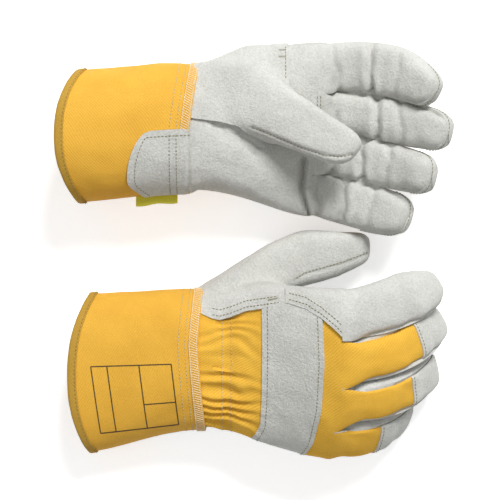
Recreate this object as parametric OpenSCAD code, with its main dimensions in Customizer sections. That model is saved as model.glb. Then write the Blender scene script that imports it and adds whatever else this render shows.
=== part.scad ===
// A pair of leather-palmed gardening gloves, lying side by side.
// The right glove lies on its palm and the left glove on its back.
// In a glove's own frame X runs to the fingertips, Y to the thumb and Z out of the back.

/* [Fingers] */
// Flat width of the index finger
index_w = 28; // [26:0.5:34]
// Flat width of the middle finger
middle_w = 27; // [25:0.5:33]
// Flat width of the ring finger
ring_w = 25.5; // [23:0.5:31]
// Flat width of the little finger
little_w = 24; // [21:0.5:29]
// Length of the index finger past its hinge
index_l = 76; // [66:1:86]
// Length of the middle finger past its hinge
middle_l = 82; // [72:1:92]
// Length of the ring finger past its hinge
ring_l = 77; // [67:1:87]
// Length of the little finger past its hinge
little_l = 66; // [56:1:76]
// Thickness of the four fingers
finger_t = 20; // [16:0.5:22]
// Extra width of a finger halfway along it
finger_swell = 1.2; // [0:0.2:4]
// Length of the rounded fingertip
tip_l = 14; // [10:0.5:18]
// Length of the leather cap over a fingertip, along its back
cap_l = 34; // [20:1:44]
// Space between neighbouring fingers at their hinges
finger_gap = 0.8; // [0.6:0.1:2]
// Length of a finger that sits inside the open end of the hand
finger_nest = 5; // [3:0.5:8]

/* [Thumb] */
// Flat width of the thumb at its root
thumb_root_w = 40; // [34:1:44]
// Flat width of the thumb near its tip
thumb_tip_w = 26; // [22:1:30]
// Thickness of the thumb at its root
thumb_root_t = 28; // [22:1:32]
// Thickness of the thumb near its tip
thumb_tip_t = 20; // [16:1:24]
// Length of the thumb past its hinge
thumb_l = 92; // [80:1:100]
// Length of the thumb that sits inside the hand
thumb_nest = 7; // [6:1:16]

/* [Hand] */
// Length from the wrist seam to the finger hinges
hand_l = 98; // [90:1:106]
// Thickness across the knuckles
knuckle_t = 33.5; // [30:0.5:36]
// Side clearance between the outer fingers and the hand
knuckle_gap = 1.4; // [0.8:0.1:3]
// Length of the thumb wrap's closed band next to the wrist seam
wrap_band = 14; // [8:1:18]
// Distance from the wrist seam to the knuckle strap
strap_x = 40; // [34:1:46]
// Width of the knuckle strap
strap_w = 38; // [30:1:42]
// Distance from the wrist seam to the wrist elastic
elastic_x = 13; // [10:0.5:18]
// Width of the wrist elastic
elastic_w = 8; // [5:0.5:10]
// Length of the hand that sits inside the cuff
wrist_nest = 7; // [4:0.5:10]
// Clearance all round between the hand and the cuff
wrist_gap = 2.4; // [2:0.1:4]

/* [Cuff] */
// Length of the cuff along its middle
cuff_l = 85; // [70:1:95]
// How far the rim curves back at the cuff's sides
rim_bow = 13; // [6:1:18]
// Length round the cuff's rim
rim_girth = 240; // [225:1:255]
// Length round the cuff at the wrist seam
seam_girth = 226; // [216:1:236]
// Width of the binding on the rim
binding_w = 5; // [3:0.5:8]
// Width of the overlocked edge
overlock_w = 6; // [4:0.5:8]
// Length of the vein patch on the cuff
vein_l = 40; // [30:1:50]
// Corner length of the vein patch
vein_corner = 10; // [6:1:12]
// Length of the label tab
tab_l = 27; // [20:1:32]
// Height of the label tab
tab_h = 6; // [4:0.5:8]

/* [Walls] */
// Thickness of the suede
leather_t = 1.4; // [1:0.1:1.8]
// Thickness of the cotton drill
drill_t = 1; // [0.6:0.1:1.4]
// Thickness of the palm lining
lining_t = 0.8; // [0.5:0.1:1]
// Thickness of the rubberised canvas
canvas_t = 1.6; // [1.2:0.1:2]
// Thickness of the binding tape
binding_t = 0.9; // [0.6:0.1:1.2]
// Thickness of the wrist elastic
elastic_t = 1; // [0.6:0.1:1.4]
// Thickness of a seam's thread
thread_t = 0.5; // [0.3:0.1:0.6]
// Gap between two plies that are sewn one on the other
ply_gap = 0.4; // [0.3:0.05:0.6]

/* [Hidden] */
RIGHT = 0;
LEFT = 1;
finger_w = [index_w, middle_w, ring_w, little_w];
finger_l = [index_l, middle_l, ring_l, little_l];

// Pose of each glove: angles from the photograph, right first
finger_roll = [[2, 10, 22, 36], [-10, -9, -7, -4]];
finger_set = [[0, 2, 0, -8], [-4, -4, -8, -15]];
finger_yaw = [[[10, 40], [5, 34], [-2, 13], [-10, -10]], [[5, -20], [-4, -12], [-9, -12], [-13, -15]]];
finger_curl = [[[6, 66], [8, 83], [8, 82], [8, 74]], [[4, 50], [5, 46], [6, 50], [6, 38]]];
knuckle_at = [[-9.5, 31], [-0.5, 12.5]];
thumb_at = [[30, 41, -7], [29, 25, -13]];
thumb_yaw = [[40, 2], [-17, -34]];
thumb_curl = [[9, 14], [16, 10]];
thumb_roll = [20, -10];
rim_at = [[-9.5, -5.5], [-5.5, 0]];
rim_flat = [0.39, 0.76];
seam_flat = [0.53, 0.70];
glove_at = [[-33.5, -71.7], [-40, 79.1]];

// Where the hand's panels end, as angles round its section from the thumb side over the back
back_edge = 45;
window_edge = 22.5;
ulnar_edge = 180;
window_palm_edge = [281.25, 247.5];
band_palm_edge = 337.5;
window_end = [60, 76];
vein_span = [202.5, 270];
tab_turn = 191.25;

// Fineness of the surfaces
hand_step = 11.25;
digit_step = 22.5;
digit_rings = 10;
hand_pitch = 14;
tip_close = 0.02;
seam_inset = 3;

function lerp(a, b, t) = a + (b - a) * t;
function ease(t) = let (c = min(1, max(0, t))) c * c * (3 - 2 * c);
function total(list, n) = n == 0 ? 0 : list[n - 1] + total(list, n - 1);
function span(from, to, step) =
    let (n = max(1, round((to - from) / step))) [for (k = [0:n]) lerp(from, to, k / n)];
function power(v, p) = sign(v) * pow(abs(v), p);
function oval(half_w, half_t, p, turn) = [half_w * power(cos(turn), 2 / p), half_t * power(sin(turn), 2 / p)];
function half_of(girth, flat) = girth / (PI * (3 * (1 + flat) - sqrt((3 + flat) * (1 + 3 * flat))));

// Widths across the knuckles
knuckles_w = total(finger_w, 4) + 3 * finger_gap;
palm_w = knuckles_w + 2 * (leather_t + lining_t + knuckle_gap);
function finger_mid(i) = knuckles_w / 2 - total(finger_w, i) - i * finger_gap - finger_w[i] / 2;

// The palm's arch: how far its section is turned at a distance from its middle
function arch_roll(s, across, share) =
    share * lookup(across, [for (i = [3:-1:0]) [finger_mid(i), finger_roll[s][i]]]);
arch_steps = 8;
function arch_path(s, across, share) =
    let (turns = [for (k = [0:arch_steps - 1]) arch_roll(s, across * (k + 0.5) / arch_steps, share)])
    across / arch_steps * [total([for (a = turns) cos(a)], arch_steps),
                           total([for (a = turns) sin(a)], arch_steps)];
function arch_point(s, across, height, share) =
    let (turn = arch_roll(s, across, share)) arch_path(s, across, share) + height * [-sin(turn), cos(turn)];
function knuckle_set(s, across) =
    lookup(across, [for (i = [3:-1:0]) [finger_mid(i), finger_set[s][i]]]);

// The cuff, from its rim at share 0 to the wrist seam at share 1
cuff_power = 2.3;
rim_half_w = [for (s = [RIGHT, LEFT]) half_of(rim_girth, rim_flat[s])];
seam_half_w = [for (s = [RIGHT, LEFT]) half_of(seam_girth, seam_flat[s])];
function rim_x(turn) = -cuff_l + rim_bow * pow(cos(turn), 2);
function cuff_point(s, x, turn, off) =
    let (share = ease(1 + x / cuff_l),
         half_w = lerp(rim_half_w[s], seam_half_w[s], share) + off,
         half_t = lerp(rim_half_w[s] * rim_flat[s], seam_half_w[s] * seam_flat[s], share) + off,
         flat = oval(half_w, half_t, cuff_power, turn))
    [x, lerp(rim_at[s][0], 0, share) + flat[0], lerp(rim_at[s][1], 0, share) + flat[1]];

// The hand, from the wrist seam at x 0 to the finger hinges
wrist_inset = canvas_t + wrist_gap;
knuckle_power = 4;
function hand_point(s, x, turn, off) =
    let (share = x / hand_l,
         grown = ease(share),
         half_w = lerp(seam_half_w[s] - wrist_inset, palm_w / 2, grown) + off,
         half_t = lerp(seam_half_w[s] * seam_flat[s] - wrist_inset, knuckle_t / 2, grown) + off,
         flat = oval(half_w, half_t, lerp(cuff_power, knuckle_power, max(0, share)), turn),
         place = arch_point(s, flat[0], flat[1], grown))
    [x + max(0, share) * knuckle_set(s, flat[0]) * grown,
     knuckle_at[s][0] * grown + place[0],
     knuckle_at[s][1] * grown + place[1]];

// A digit's hinge and its centreline, as [place, ahead, side, up, share] at each ring
function digit_frame(at, roll, yaw, curl, share) =
    let (side0 = [0, cos(roll), sin(roll)],
         up0 = [0, -sin(roll), cos(roll)],
         turn = lerp(yaw[0], yaw[1], share),
         bend = lerp(curl[0], curl[1], share),
         ahead = cos(bend) * (cos(turn) * [1, 0, 0] + sin(turn) * side0) - sin(bend) * up0,
         side = cos(turn) * side0 - sin(turn) * [1, 0, 0])
    [at, ahead, side, cross(ahead, side), share];
function digit_path(at, roll, length, yaw, curl) =
    [for (k = 0, p = at; k <= digit_rings;
          p = p + digit_frame(p, roll, yaw, curl, (k + 0.5) / digit_rings)[1] * length / digit_rings,
          k = k + 1)
        digit_frame(p, roll, yaw, curl, k / digit_rings)];
function nested(path, depth) =
    let (f = path[0]) concat([[f[0] - depth * f[1], f[1], f[2], f[3], f[4]]], path);
function finger_at(s, i) =
    let (place = arch_point(s, finger_mid(i), 0, 1))
    [hand_l + finger_set[s][i], knuckle_at[s][0] + place[0], knuckle_at[s][1] + place[1]];
function finger_path(s, i) =
    nested(digit_path(finger_at(s, i), finger_roll[s][i], finger_l[i], finger_yaw[s][i], finger_curl[s][i]),
           finger_nest);
function thumb_path(s) =
    nested(digit_path(thumb_at[s], thumb_roll[s], thumb_l, thumb_yaw[s], thumb_curl[s]), thumb_nest);

// A point on a digit's surface, with the tip rounded off
digit_power = 2.5;
function dome(share, length) =
    let (past = (share * length - length + tip_l) / tip_l)
    past < 0 ? 1 : sqrt(max(tip_close * tip_close, 1 - past * past));
function digit_point(frame, length, half_w, half_t, turn, off) =
    let (close = dome(frame[4], length),
         flat = oval(half_w + off, half_t + off, digit_power, turn) * close)
    frame[0] + flat[0] * frame[2] + flat[1] * frame[3] + off * (1 - close) * frame[1];
function finger_rows(s, i, rings, turns, off) =
    let (path = finger_path(s, i))
    [for (k = rings) [for (a = turns)
        digit_point(path[k], finger_l[i], (finger_w[i] + finger_swell * sin(180 * path[k][4])) / 2,
                    finger_t / 2, a, off)]];
function thumb_rows(s, turns, off) =
    [for (f = thumb_path(s)) [for (a = turns)
        digit_point(f, thumb_l, lerp(thumb_root_w, thumb_tip_w, f[4]) / 2,
                    lerp(thumb_root_t, thumb_tip_t, f[4]) / 2, a, off)]];
function cap_ring(i) = 1 + round(digit_rings * (1 - cap_l / finger_l[i]));

// Rows of points on the hand and on the cuff
function hand_rings(from, to) = span(from, to, hand_pitch);
function hand_rows(s, rings, from, to, off) =
    [for (x = rings) [for (a = span(from, to, hand_step)) hand_point(s, x, a, off)]];
function cuff_rows(s, starts, end, turns, off, steps) =
    [for (k = [0:steps]) [for (j = [0:len(turns) - 1])
        cuff_point(s, lerp(starts[j], end, k / steps), turns[j], off)]];

function joined(rows) = [for (row = rows) each row];
function quad(a, b, c, d) = [[a, c, b], [a, d, c]];

// A curved sheet between two equal grids of points, the outer one and the inner one
module sheet(outer, inner) {
    rows = len(outer);
    cols = len(outer[0]);
    depth = rows * cols;
    function at(i, j) = i * cols + j;
    skins = [for (i = [0:rows - 2], j = [0:cols - 2])
        each concat(quad(at(i, j), at(i, j + 1), at(i + 1, j + 1), at(i + 1, j)),
                    quad(depth + at(i, j), depth + at(i + 1, j),
                         depth + at(i + 1, j + 1), depth + at(i, j + 1)))];
    sides = [for (i = [0:rows - 2])
        each concat(quad(at(i, 0), at(i + 1, 0), depth + at(i + 1, 0), depth + at(i, 0)),
                    quad(at(i + 1, cols - 1), at(i, cols - 1),
                         depth + at(i, cols - 1), depth + at(i + 1, cols - 1)))];
    ends = [for (j = [0:cols - 2])
        each concat(quad(at(0, j + 1), at(0, j), depth + at(0, j), depth + at(0, j + 1)),
                    quad(at(rows - 1, j), at(rows - 1, j + 1),
                         depth + at(rows - 1, j + 1), depth + at(rows - 1, j)))];
    polyhedron(points = concat(joined(outer), joined(inner)), faces = concat(skins, sides, ends));
}

// A sheet that closes on itself round the glove
module sleeve(outer, inner) {
    rows = len(outer);
    cols = len(outer[0]);
    depth = rows * cols;
    function at(i, j) = i * cols + (j % cols);
    skins = [for (i = [0:rows - 2], j = [0:cols - 1])
        each concat(quad(at(i, j), at(i, j + 1), at(i + 1, j + 1), at(i + 1, j)),
                    quad(depth + at(i, j), depth + at(i + 1, j),
                         depth + at(i + 1, j + 1), depth + at(i, j + 1)))];
    ends = [for (j = [0:cols - 1])
        each concat(quad(at(0, j + 1), at(0, j), depth + at(0, j), depth + at(0, j + 1)),
                    quad(at(rows - 1, j), at(rows - 1, j + 1),
                         depth + at(rows - 1, j + 1), depth + at(rows - 1, j)))];
    polyhedron(points = concat(joined(outer), joined(inner)), faces = concat(skins, ends));
}

// A closed section carried round the glove, one row of points for each turn
module hoop(rows) {
    turns = len(rows);
    cols = len(rows[0]);
    function at(i, j) = (i % turns) * cols + (j % cols);
    skins = [for (i = [0:turns - 1], j = [0:cols - 1])
        each quad(at(i, j), at(i + 1, j), at(i + 1, j + 1), at(i, j + 1))];
    polyhedron(points = joined(rows), faces = skins);
}

// Puts a glove in its place in the pair, standing on its cuff's rim
module placed(s) {
    lift = rim_half_w[s] * rim_flat[s] + ply_gap + binding_t - (s == RIGHT ? 1 : -1) * rim_at[s][1];
    translate([glove_at[s][0], glove_at[s][1], lift])
        mirror([0, 0, s == LEFT ? 1 : 0])
            children();
}

leather = "#d3d3cf";
drill = "#edb83f";
canvas = "#efbb42";
thread = "#8a8560";

module hand_sheet(s, from, to, turn0, turn1, outer, inner) {
    rings = hand_rings(from, to);
    sheet(hand_rows(s, rings, turn0, turn1, outer), hand_rows(s, rings, turn0, turn1, inner));
}

// The palm side of the hand, cut away where the thumb comes through
module palm_sheet(s, outer, inner) {
    end = min(window_end[s], hand_l - hand_pitch);
    hand_sheet(s, -wrist_nest, end, ulnar_edge, window_palm_edge[s], outer, inner);
    hand_sheet(s, end, hand_l, ulnar_edge, band_palm_edge, outer, inner);
}

module palm_panel(s) {
    color(leather) placed(s) palm_sheet(s, 0, -leather_t);
}

module palm_lining(s) {
    color("#cfc9b8") placed(s) palm_sheet(s, -leather_t, -leather_t - lining_t);
}

module thumb_wrap(s) {
    color(leather) placed(s) {
        hand_sheet(s, -wrist_nest, wrap_band, window_palm_edge[s] - 360, back_edge, 0, -leather_t);
        hand_sheet(s, wrap_band, window_end[s], window_edge, back_edge, 0, -leather_t);
    }
}

module index_band(s) {
    color(leather) placed(s)
        hand_sheet(s, window_end[s], hand_l, band_palm_edge - 360, back_edge, 0, -leather_t);
}

module back_panel(s) {
    color(drill) placed(s) hand_sheet(s, -wrist_nest, hand_l, back_edge, ulnar_edge, 0, -drill_t);
}

module knuckle_strap(s) {
    color(leather) placed(s)
        hand_sheet(s, strap_x, strap_x + strap_w, back_edge, ulnar_edge, ply_gap + leather_t, ply_gap);
}

module wrist_elastic(s) {
    color("#f2efe6") placed(s)
        hand_sheet(s, elastic_x, elastic_x + elastic_w, back_edge + hand_step, ulnar_edge - hand_step,
                   -drill_t - ply_gap, -drill_t - ply_gap - elastic_t);
}

module hand_stitching(s) {
    strap_rows = [strap_x + seam_inset, strap_x + strap_w - seam_inset];
    elastic_rows = [elastic_x + thread_t, elastic_x + elastic_w - thread_t];
    on_strap = 2 * ply_gap + leather_t;
    color(thread) placed(s) {
        for (x = strap_rows)
            hand_sheet(s, x - thread_t, x + thread_t, back_edge, ulnar_edge, on_strap + thread_t, on_strap);
        for (x = elastic_rows)
            hand_sheet(s, x - thread_t, x + thread_t, back_edge, ulnar_edge, ply_gap + thread_t, ply_gap);
    }
}

cuff_steps = 6;
ring_turns = [for (a = [0:hand_step:359]) a];
rim_starts = [for (a = ring_turns) rim_x(a)];

module cuff_sleeve(s, starts, end, outer, inner, steps) {
    sleeve(cuff_rows(s, starts, end, ring_turns, outer, steps),
           cuff_rows(s, starts, end, ring_turns, inner, steps));
}

module cuff_panel(s) {
    color(canvas) placed(s) cuff_sleeve(s, rim_starts, 0, 0, -canvas_t, cuff_steps);
}

// The binding's folded section, as [distance from the rim, height over the canvas]
binding_over = ply_gap + binding_t;
binding_section = [
    [-binding_over, binding_over], [binding_w, binding_over], [binding_w, ply_gap], [-ply_gap, ply_gap],
    [-ply_gap, -canvas_t - ply_gap], [binding_w, -canvas_t - ply_gap], [binding_w, -canvas_t - binding_over],
    [-binding_over, -canvas_t - binding_over]];

module cuff_binding(s) {
    color("#c59a35") placed(s)
        hoop([for (a = ring_turns) [for (p = binding_section) cuff_point(s, rim_x(a) + p[0], a, p[1])]]);
}

// The overlocked edge and the seams run round the cuff, and stop at the vein patch
open_turns = span(vein_span[1], vein_span[0] + 360, hand_step);
vein_turns = span(vein_span[0], vein_span[1], hand_step);

module cuff_band(s, x, width, turns, outer, inner) {
    starts = [for (a = turns) x];
    sheet(cuff_rows(s, starts, x + width, turns, outer, 1), cuff_rows(s, starts, x + width, turns, inner, 1));
}

module cuff_overlock(s) {
    color("#f0d8b0") placed(s) cuff_band(s, -overlock_w, overlock_w, open_turns, ply_gap + thread_t, ply_gap);
}

module vein_patch(s) {
    middle = (vein_span[0] + vein_span[1]) / 2;
    starts = [for (a = vein_turns)
        let (edge = max(0, abs(a - middle) / (vein_span[1] - middle) * 2 - 1))
        -vein_l + vein_corner * (1 - sqrt(1 - edge * edge))];
    color(leather) placed(s)
        sheet(cuff_rows(s, starts, 0, vein_turns, ply_gap + leather_t, cuff_steps),
              cuff_rows(s, starts, 0, vein_turns, ply_gap, cuff_steps));
}

module cuff_stitching(s) {
    on_patch = 2 * ply_gap + leather_t;
    color("#b9ae8c") placed(s)
        for (x = [-overlock_w - seam_inset, -overlock_w - 2 * seam_inset - thread_t]) {
            cuff_band(s, x, 2 * thread_t, open_turns, ply_gap + thread_t, ply_gap);
            cuff_band(s, x, 2 * thread_t, vein_turns, on_patch + thread_t, on_patch);
        }
}

module label_tab(s) {
    edge = overlock_w + 3 * seam_inset;
    turns = [tab_turn - 1, tab_turn + 1];
    starts = [for (a = turns) -edge - tab_l];
    color("#d9cf35") placed(s)
        sheet(cuff_rows(s, starts, -edge, turns, tab_h, 1), cuff_rows(s, starts, -edge, turns, ply_gap, 1));
}

module thumb_sheet(s, turn0, turn1) {
    turns = span(turn0, turn1, digit_step);
    placed(s) sheet(thumb_rows(s, turns, 0), thumb_rows(s, turns, -leather_t));
}

thumb_seam = 157.5;
thumb_seam_gap = 2;

module thumb_outer(s) {
    color(leather) thumb_sheet(s, thumb_seam - 315, thumb_seam);
}

module thumb_inner(s) {
    color("#c8c8c4") thumb_sheet(s, thumb_seam + thumb_seam_gap, thumb_seam + 45 - thumb_seam_gap);
}

module finger_sheet(s, i, ring0, ring1, turn0, turn1, wall) {
    rings = [for (k = [ring0:ring1]) k];
    turns = span(turn0, turn1, digit_step);
    placed(s) sheet(finger_rows(s, i, rings, turns, 0), finger_rows(s, i, rings, turns, -wall));
}

last_ring = digit_rings + 1;
side_turn = digit_step;

module index_front(s) {
    color(leather) finger_sheet(s, 0, 0, last_ring, 180, 360, leather_t);
}

module index_back(s) {
    color(leather) finger_sheet(s, 0, 0, last_ring, 0, 180, leather_t);
}

module finger_front(s, i) {
    color(leather) finger_sheet(s, i, 0, last_ring, 180 + side_turn, 360 - side_turn, leather_t);
}

module finger_back(s, i) {
    color(drill) finger_sheet(s, i, 0, cap_ring(i), side_turn, 180 - side_turn, leather_t);
}

module finger_tip(s, i) {
    color(leather) finger_sheet(s, i, cap_ring(i), last_ring, side_turn, 180 - side_turn, leather_t);
}

module finger_sides(s, i) {
    color("#c8c8c4") for (turn = [0, 180])
        finger_sheet(s, i, 0, last_ring, turn - side_turn, turn + side_turn, leather_t);
}

SIDES = ["right", "left"];
FINGERS = ["index", "middle", "ring", "little"];
HAND_PIECES = ["palm_panel", "palm_lining", "thumb_wrap", "index_band", "back_panel", "knuckle_strap",
    "wrist_elastic", "hand_stitching", "cuff_panel", "cuff_binding", "cuff_overlock", "vein_patch",
    "cuff_stitching", "thumb_outer", "thumb_inner", "index_front", "index_back"];
FINGER_PIECES = ["front", "back", "tip", "sides"];
NODES = concat(
    [for (side = SIDES, piece = HAND_PIECES) str(side, "_", piece)],
    [for (side = SIDES, i = [1:3], piece = FINGER_PIECES) str(side, "_", FINGERS[i], "_", piece)],
    ["left_label_tab"]);
node = "all";

function shown(s, piece) = node == "all" || node == str(SIDES[s], "_", piece);

for (s = [RIGHT, LEFT]) {
    if (shown(s, "palm_panel")) palm_panel(s);
    if (shown(s, "palm_lining")) palm_lining(s);
    if (shown(s, "thumb_wrap")) thumb_wrap(s);
    if (shown(s, "index_band")) index_band(s);
    if (shown(s, "back_panel")) back_panel(s);
    if (shown(s, "knuckle_strap")) knuckle_strap(s);
    if (shown(s, "wrist_elastic")) wrist_elastic(s);
    if (shown(s, "hand_stitching")) hand_stitching(s);
    if (shown(s, "cuff_panel")) cuff_panel(s);
    if (shown(s, "cuff_binding")) cuff_binding(s);
    if (shown(s, "cuff_overlock")) cuff_overlock(s);
    if (shown(s, "vein_patch")) vein_patch(s);
    if (shown(s, "cuff_stitching")) cuff_stitching(s);
    if (shown(s, "thumb_outer")) thumb_outer(s);
    if (shown(s, "thumb_inner")) thumb_inner(s);
    if (shown(s, "index_front")) index_front(s);
    if (shown(s, "index_back")) index_back(s);
    for (i = [1:3]) {
        if (shown(s, str(FINGERS[i], "_front"))) finger_front(s, i);
        if (shown(s, str(FINGERS[i], "_back"))) finger_back(s, i);
        if (shown(s, str(FINGERS[i], "_tip"))) finger_tip(s, i);
        if (shown(s, str(FINGERS[i], "_sides"))) finger_sides(s, i);
    }
}
if (shown(LEFT, "label_tab")) label_tab(LEFT);
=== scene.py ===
# %% [markdown]
# # A pair of gardening gloves
# Two rigger gloves lie on a pale floor, the left one palm up and the right one back up.
# A sewn glove is a set of flat pattern pieces wrapped round a hand, so it is made that way here:
# one form of the hand, and each piece cut as a grid, laid on the form and given its thickness.

# %% The frame and the tools
import math

import bmesh
import bpy
from mathutils import Matrix, Vector, noise
from mathutils.bvhtree import BVHTree


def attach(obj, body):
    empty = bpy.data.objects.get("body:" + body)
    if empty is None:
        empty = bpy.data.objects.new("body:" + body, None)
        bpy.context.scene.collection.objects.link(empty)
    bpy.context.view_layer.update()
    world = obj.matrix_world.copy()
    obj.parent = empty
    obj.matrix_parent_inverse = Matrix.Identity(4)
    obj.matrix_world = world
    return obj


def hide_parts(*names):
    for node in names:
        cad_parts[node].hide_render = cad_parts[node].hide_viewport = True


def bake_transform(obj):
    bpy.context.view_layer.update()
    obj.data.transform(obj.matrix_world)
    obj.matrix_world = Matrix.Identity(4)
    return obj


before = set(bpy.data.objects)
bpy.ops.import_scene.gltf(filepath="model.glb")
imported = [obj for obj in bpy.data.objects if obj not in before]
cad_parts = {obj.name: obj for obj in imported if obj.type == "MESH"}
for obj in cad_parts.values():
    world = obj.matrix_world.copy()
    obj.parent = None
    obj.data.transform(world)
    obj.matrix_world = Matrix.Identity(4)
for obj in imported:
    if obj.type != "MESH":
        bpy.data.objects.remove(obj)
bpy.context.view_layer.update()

# %% [markdown]
# ## The photograph's view
# The camera looks straight down from far off, so the gloves show almost without perspective.
# A pixel of the photograph is 0.65 mm on the gloves, which gives the width of the frame.

# %% Camera
MM = 0.001
PIXEL = 0.65
FRAME_PX = 500
GLOVE_HEIGHT = 0.035
CAMERA_HEIGHT = 1.5
scene = bpy.context.scene
scene.view_settings.view_transform = "Standard"
lens = bpy.data.cameras.new("camera")
lens.lens = lens.sensor_width * (CAMERA_HEIGHT - GLOVE_HEIGHT) / (FRAME_PX * PIXEL * MM)
camera = bpy.data.objects.new("camera", lens)
camera.location = (-0.001, -0.0002, CAMERA_HEIGHT)
scene.collection.objects.link(camera)
scene.camera = camera
print("lens", round(lens.lens), "mm")

# %% [markdown]
# ## Colours and nodes
# Colours are written as the sRGB values seen on a screen, and Blender works in linear light,
# so one function turns them. A second one adds a node, with its settings and its links.


# %% Colour and node helpers
def colour(code):
    channels = [int(code[k:k + 2], 16) / 255 for k in (1, 3, 5)]
    linear = [c / 12.92 if c <= 0.04045 else ((c + 0.055) / 1.055) ** 2.4 for c in channels]
    return (*linear, 1.0)


def add(tree, kind, links=None, **settings):
    made = tree.nodes.new(kind)
    for name, value in settings.items():
        setattr(made, name, value)
    for socket, value in (links or {}).items():
        if isinstance(value, bpy.types.NodeSocket):
            tree.links.new(value, made.inputs[socket])
        else:
            made.inputs[socket].default_value = value
    return made


def finish_of(name):
    made = bpy.data.materials.new(name)
    made.use_nodes = True
    made.node_tree.nodes.clear()
    return made, made.node_tree


# %% [markdown]
# ## Floor and light
# The gloves lie on white paper. The floor is lit like the rest and keeps the shadow,
# and for the camera and for mirrored rays it is drawn a little brighter, so that it reads as white.
# A broad soft lamp stands towards the fingertips' upper side, as the folds in the photograph show.

# %% Floor
# Plain matt paper: no grain, so that the eye stays on the gloves and their shadow.
paper, tree = finish_of("white_paper")
path = add(tree, "ShaderNodeLightPath")
diffuse = add(tree, "ShaderNodeBsdfDiffuse", {"Color": colour("#F4F4F4")})
glow = add(tree, "ShaderNodeEmission", {"Color": colour("#FFFFFF"), "Strength": 0.56})
lit = add(tree, "ShaderNodeAddShader", {0: diffuse.outputs[0], 1: glow.outputs[0]})
seen = path.outputs["Is Camera Ray"]
for ray in ("Is Glossy Ray", "Is Transmission Ray"):
    seen = add(tree, "ShaderNodeMath", {0: seen, 1: path.outputs[ray]}, operation="MAXIMUM").outputs[0]
shown = add(tree, "ShaderNodeMixShader", {0: seen, 1: diffuse.outputs[0], 2: lit.outputs[0]})
add(tree, "ShaderNodeOutputMaterial", {"Surface": shown.outputs[0]})

FLOOR_HALF = 3.0
bm = bmesh.new()
bmesh.ops.create_grid(bm, x_segments=2, y_segments=2, size=FLOOR_HALF)
mesh = bpy.data.meshes.new("floor")
bm.to_mesh(mesh)
bm.free()
floor = bpy.data.objects.new("floor", mesh)
mesh.materials.append(paper)
scene.collection.objects.link(floor)
print("floor", 2 * FLOOR_HALF, "m wide")

# %% World and lamps
world = bpy.data.worlds.new("studio")
world.use_nodes = True
world.node_tree.nodes.clear()
sky = add(world.node_tree, "ShaderNodeBackground", {"Color": colour("#FFFFFF"), "Strength": 0.34})
add(world.node_tree, "ShaderNodeOutputWorld", {"Surface": sky.outputs[0]})
scene.world = world
LAMP_AIM = Vector((0, 0, 0.03))


def lamp(name, place, size, watts):
    light = bpy.data.lights.new(name, "AREA")
    light.size = size
    light.energy = watts
    made = bpy.data.objects.new(name, light)
    made.location = place
    made.rotation_euler = (LAMP_AIM - Vector(place)).to_track_quat("-Z", "Y").to_euler()
    scene.collection.objects.link(made)
    return made


key = lamp("key", (0.7, 1.9, 2.1), 1.0, 86.0)
fill = lamp("fill", (-0.6, -0.3, 1.2), 0.9, 2.0)
print("lamps:", key.name, fill.name)

# %% [markdown]
# ## Sizes
# The sizes follow the part's source, in millimetres and degrees, right glove first.
# A glove's own frame has X towards the fingertips, Y towards the thumb and Z out of its back.
# The left glove lies palm up, so its Z points down in the scene.

# %% Sizes and pose
RIGHT, LEFT = 0, 1
SIDES = ("right", "left")
BACK, PALM = 1, -1
FINGERS = ("index", "middle", "ring", "little")
finger_w = (28, 27, 25.5, 24)
finger_l = ((73, 82, 75, 60), (76, 82, 77, 66))
finger_t = 20
finger_swell = 2.0
finger_plump = 3.4
tip_l = 14
drill_l = ((0, 41, 38, 23), (0, 46, 42, 34))
finger_gap = 0.8
thumb_l = 92
hand_l = 98
knuckle_t = 33.5
cuff_l = 85
rim_bow = 13
rim_girth = 240
seam_girth = 226
binding_t = 0.9
leather_t = 1.4
drill_t = 1.0
lining_t = 0.8
ply_gap = 0.4
canvas_t = 1.6
cuff_power = 2.3
knuckle_power = 4
digit_power = 3.0
thumb_power = 3.8
finger_roll = ((2, 10, 22, 36), (-10, -9, -7, -4))
finger_set = ((0, 2, 0, -8), (-4, -4, -8, -15))
finger_yaw = (((8, 34), (5, 34), (-2, 13), (-10, -10)), ((5, -24), (-4, -12), (-9, -12), (-13, -15)))
finger_curl = (((6, 66), (8, 83), (8, 82), (8, 74)), ((4, 50), (5, 46), (6, 50), (6, 38)))
knuckle_at = ((-9.5, 31), (-0.5, 12.5))
thumb_at = ((30, 41, -7), (29, 25, -13))
thumb_yaw = ((40, 2), (-17, -34))
thumb_curl = ((9, 14), (16, 10))
thumb_roll = (20, -10)
thumb_twist = (-13, 13)
rim_at = ((-9.5, -5.5), (-5.5, 0))
rim_flat = (0.39, 0.76)
seam_flat = (0.53, 0.70)
glove_at = ((-33.5, -71.7), (-40, 79.1))
print("gloves", [cuff_l + hand_l + max(finger_l[s]) for s in (RIGHT, LEFT)], "mm long when straight")

# %% [markdown]
# ## The form of the hand
# A real cutter works on a last, a solid hand. This last is a handful of functions: each gives a point
# in millimetres on the cuff, on the hand, or on a finger, for a place along it and round it.
# Near the knuckles a point slides from the hand's surface onto its finger, so skin runs on unbroken.


# %% Curves
def clamp(t):
    return min(1.0, max(0.0, t))


def ease(t):
    c = clamp(t)
    return c * c * (3 - 2 * c)


def lerp(a, b, t):
    return a + (b - a) * t


def power(value, p):
    return math.copysign(abs(value) ** p, value)


def bump(distance, width):
    return math.exp(-(distance / width) ** 2)


def along(x, stops):
    if x <= stops[0][0]:
        return stops[0][1]
    for (x0, y0), (x1, y1) in zip(stops, stops[1:]):
        if x <= x1:
            return lerp(y0, y1, (x - x0) / (x1 - x0))
    return stops[-1][1]


def oval(half_w, half_t, p, turn):
    c, s = math.cos(math.radians(turn)), math.sin(math.radians(turn))
    return half_w * power(c, 2 / p), half_t * power(s, 2 / p)


def half_of(girth, flat):
    return girth / (math.pi * (3 * (1 + flat) - math.sqrt((3 + flat) * (1 + 3 * flat))))


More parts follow.
